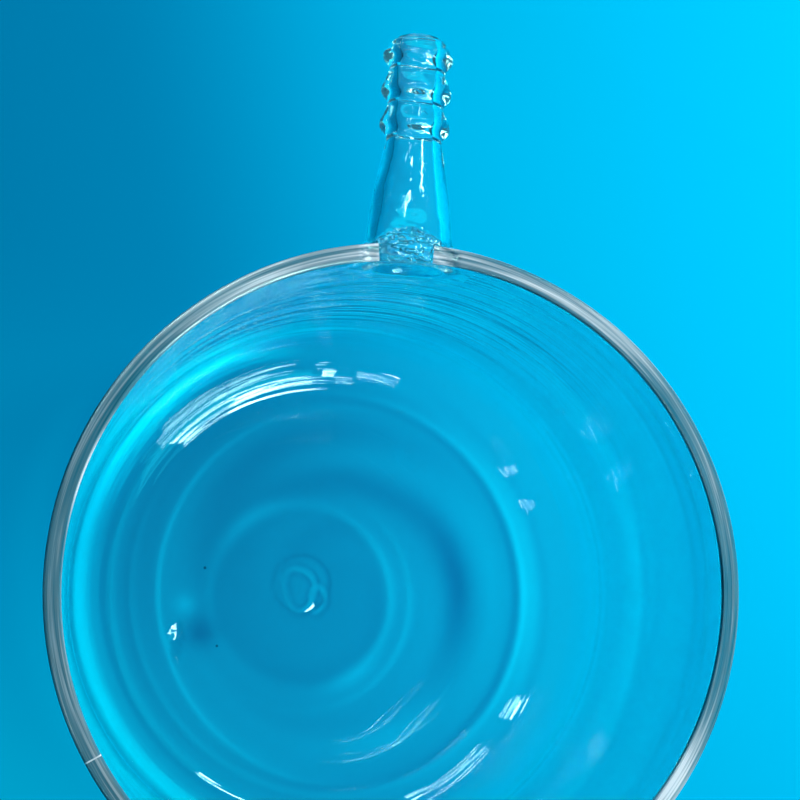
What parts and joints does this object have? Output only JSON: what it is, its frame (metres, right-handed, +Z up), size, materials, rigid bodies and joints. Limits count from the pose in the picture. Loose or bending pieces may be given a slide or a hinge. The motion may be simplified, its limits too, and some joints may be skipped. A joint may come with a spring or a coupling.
{
  "type": "glass vessel with hose nozzle",
  "caption": "Open round pot of clear laboratory glass with a flat polished rim and a barbed hose nozzle fused to its wall just under the rim.",
  "frame": {"origin": "on the vessel's axis, in the plane that its foot stands on", "axes": "+Z up along the vessel's axis, +Y along the nozzle, away from the vessel, +X across"},
  "size_m": [0.1, 0.1324, 0.095],
  "materials": {
    "clear_glass": "gloss"
  },
  "bodies": {
    "root": {"glass_vessel": "clear_glass"}
  },
  "joints": []
}
